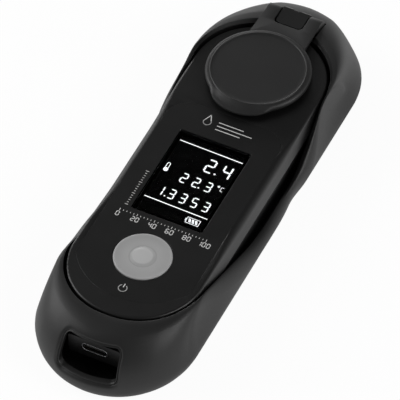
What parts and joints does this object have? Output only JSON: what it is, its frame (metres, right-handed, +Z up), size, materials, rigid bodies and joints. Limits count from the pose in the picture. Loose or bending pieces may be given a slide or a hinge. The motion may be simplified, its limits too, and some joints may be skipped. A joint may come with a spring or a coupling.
{
  "type": "handheld digital refractometer",
  "caption": "Handheld digital refractometer: a soft shell with a scooped waist round a straight body, a display, a round button and a hinged lid over the sample dish.",
  "frame": {"origin": "middle of the underside that the instrument lies on", "axes": "+Z up out of the face, +Y along the length towards the end with the sample lid, -Y towards the end with the charging socket"},
  "size_m": [0.054, 0.168, 0.0265],
  "materials": {
    "soft_shell": "soft matte black",
    "casing_plastic": "fine satin black",
    "overlay_film": "satin printed film",
    "display_glass": "clear, dark behind",
    "display_stack": "black glass with light digits",
    "white_plastic": "moulded, satin",
    "board_laminate": "green solder mask",
    "frosted_button": "frosted, slightly translucent",
    "black_moulding": "moulded black",
    "steel": "bright, fine turned marks",
    "screw_steel": "plain zinc plated",
    "optical_glass": "polished",
    "seal_rubber": "matte black",
    "foam": "closed foam, matte",
    "battery_foil": "wrapped foil pouch, satin",
    "lead_sleeve": "satin red sleeve",
    "clear_resin": "clear amber resin",
    "ribbon_film": "amber flexible film",
    "brass": "turned, satin"
  },
  "bodies": {
    "housing": {"outer_shell": "soft_shell", "rear_plate": "overlay_film", "back_casing": "casing_plastic", "front_casing": "casing_plastic", "casing_gasket": "seal_rubber", "case_screws": "screw_steel", "face_label": "overlay_film", "display_window": "display_glass", "display_panel": "display_stack", "display_backlight": "white_plastic", "display_carrier": "white_plastic", "main_board": "board_laminate", "board_screws": "screw_steel", "controller_chip": "black_moulding", "battery_pad": "foam", "battery_pack": "battery_foil", "battery_plug": "white_plastic", "battery_leads": "lead_sleeve", "usb_socket": "steel", "usb_tongue": "black_moulding", "switch_body": "black_moulding", "sample_dish": "steel", "prism": "optical_glass", "prism_seal": "seal_rubber", "optics_block": "black_moulding", "condenser_lens": "optical_glass", "light_source": "clear_resin", "line_sensor": "black_moulding", "sensor_board": "board_laminate", "optics_screws": "screw_steel", "sensor_screws": "screw_steel", "sensor_ribbon": "ribbon_film", "temperature_probe": "brass", "hinge_block": "casing_plastic", "hinge_screws": "screw_steel", "hinge_pin": "steel"},
    "lid": {"lid_cap": "casing_plastic", "lid_seal": "seal_rubber"},
    "button": {"measure_button": "frosted_button"},
    "plunger": {"switch_plunger": "white_plastic"}
  },
  "joints": [
    {"name": "lid_hinge", "type": "hinge", "parent": "housing", "child": "lid", "pos_m": [0, 0.0689, 0.0222], "axis": [-1, 0, 0], "range_deg": [0, 110]},
    {"name": "button_press", "type": "slide", "parent": "housing", "child": "button", "axis": [0, 0, -1], "range_m": [0, 0.0006], "stiffness_N_per_m": 4000},
    {"name": "plunger_slide", "type": "slide", "parent": "housing", "child": "plunger", "axis": [0, 0, -1], "range_m": [0, 0.0006]}
  ],
  "couplings": [
    {"joint": "plunger_slide", "follows": "button_press", "ratio": 1}
  ]
}
